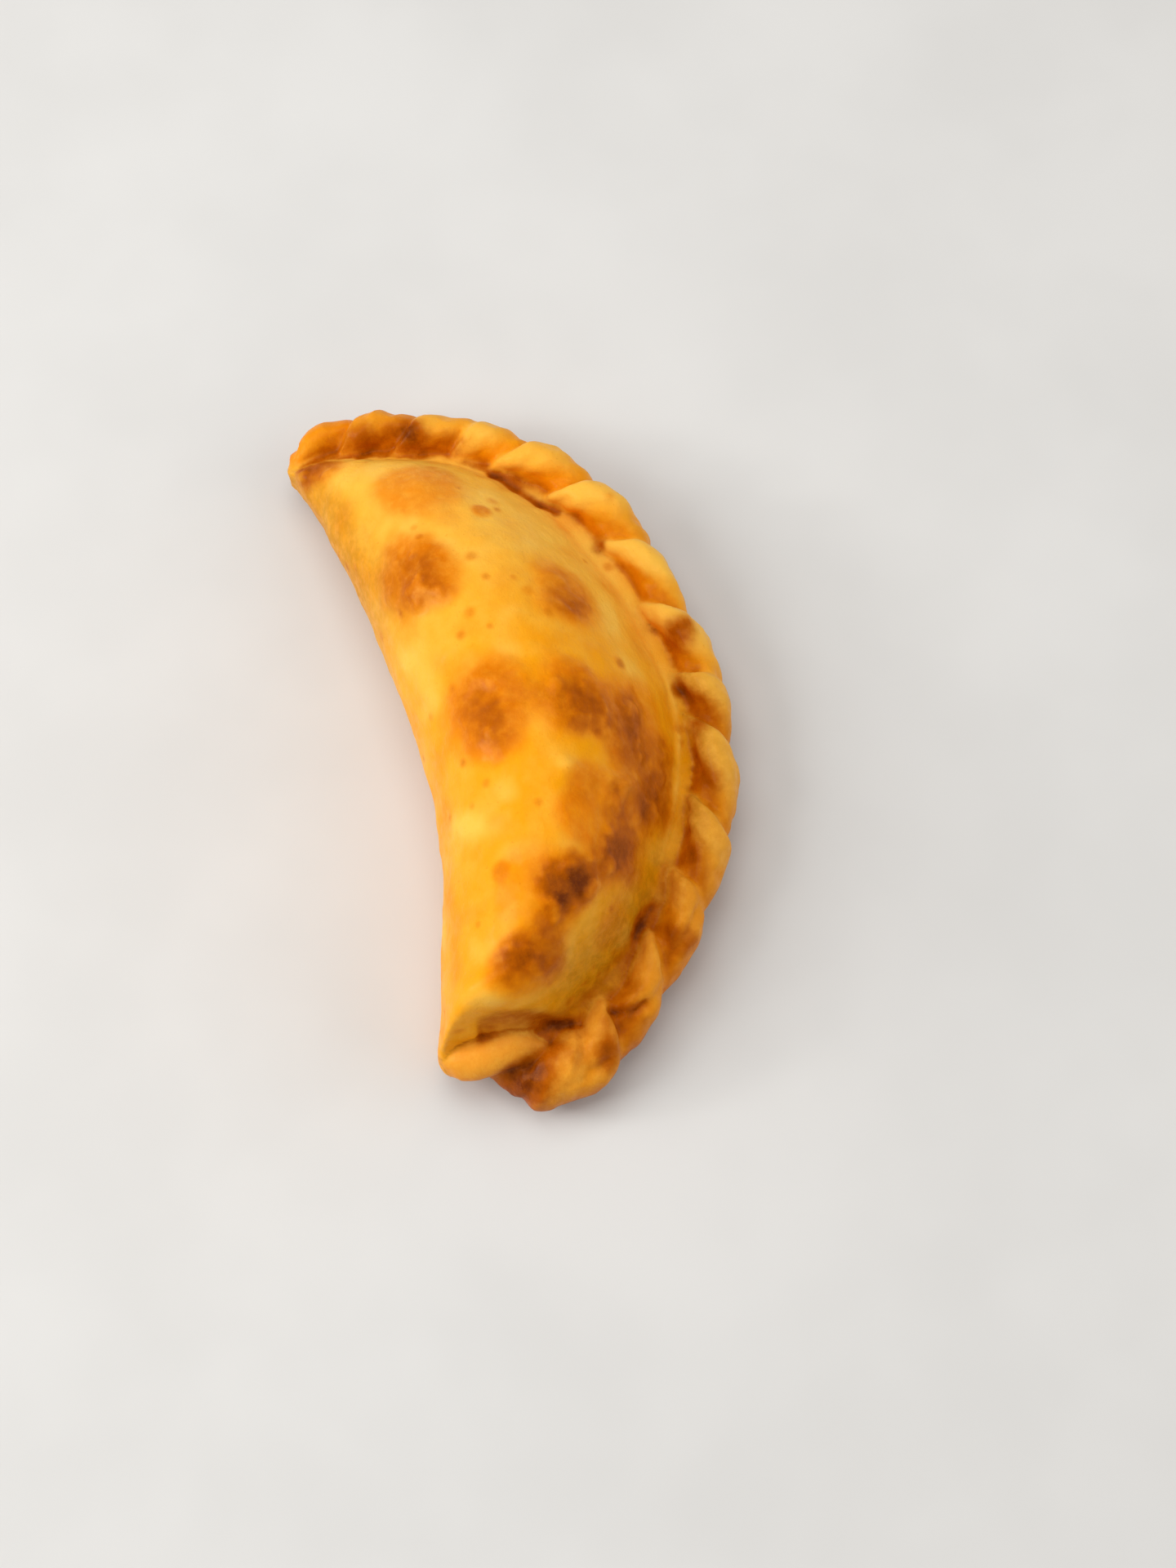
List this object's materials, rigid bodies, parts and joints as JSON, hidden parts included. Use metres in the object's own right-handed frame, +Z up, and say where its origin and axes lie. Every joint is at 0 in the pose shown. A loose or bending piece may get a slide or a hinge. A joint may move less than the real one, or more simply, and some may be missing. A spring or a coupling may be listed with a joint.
{
  "type": "beef sambousek",
  "caption": "Half-moon fried meat pasty with a domed golden crust, closed along its curved edge by a rope of overlapping folds; eaten whole or by hand.",
  "frame": {"origin": "middle of the bounding box, at the level of the flat underside that it rests on", "axes": "+X from the sharp tip to the blunt end along the length, +Y towards the rope of folds, +Z up through the dome"},
  "size_m": [0.1384, 0.0712, 0.0375],
  "materials": {
    "crust": "golden fried dough, slightly oily"
  },
  "bodies": {
    "root": {"sambousek": "crust"}
  },
  "joints": []
}
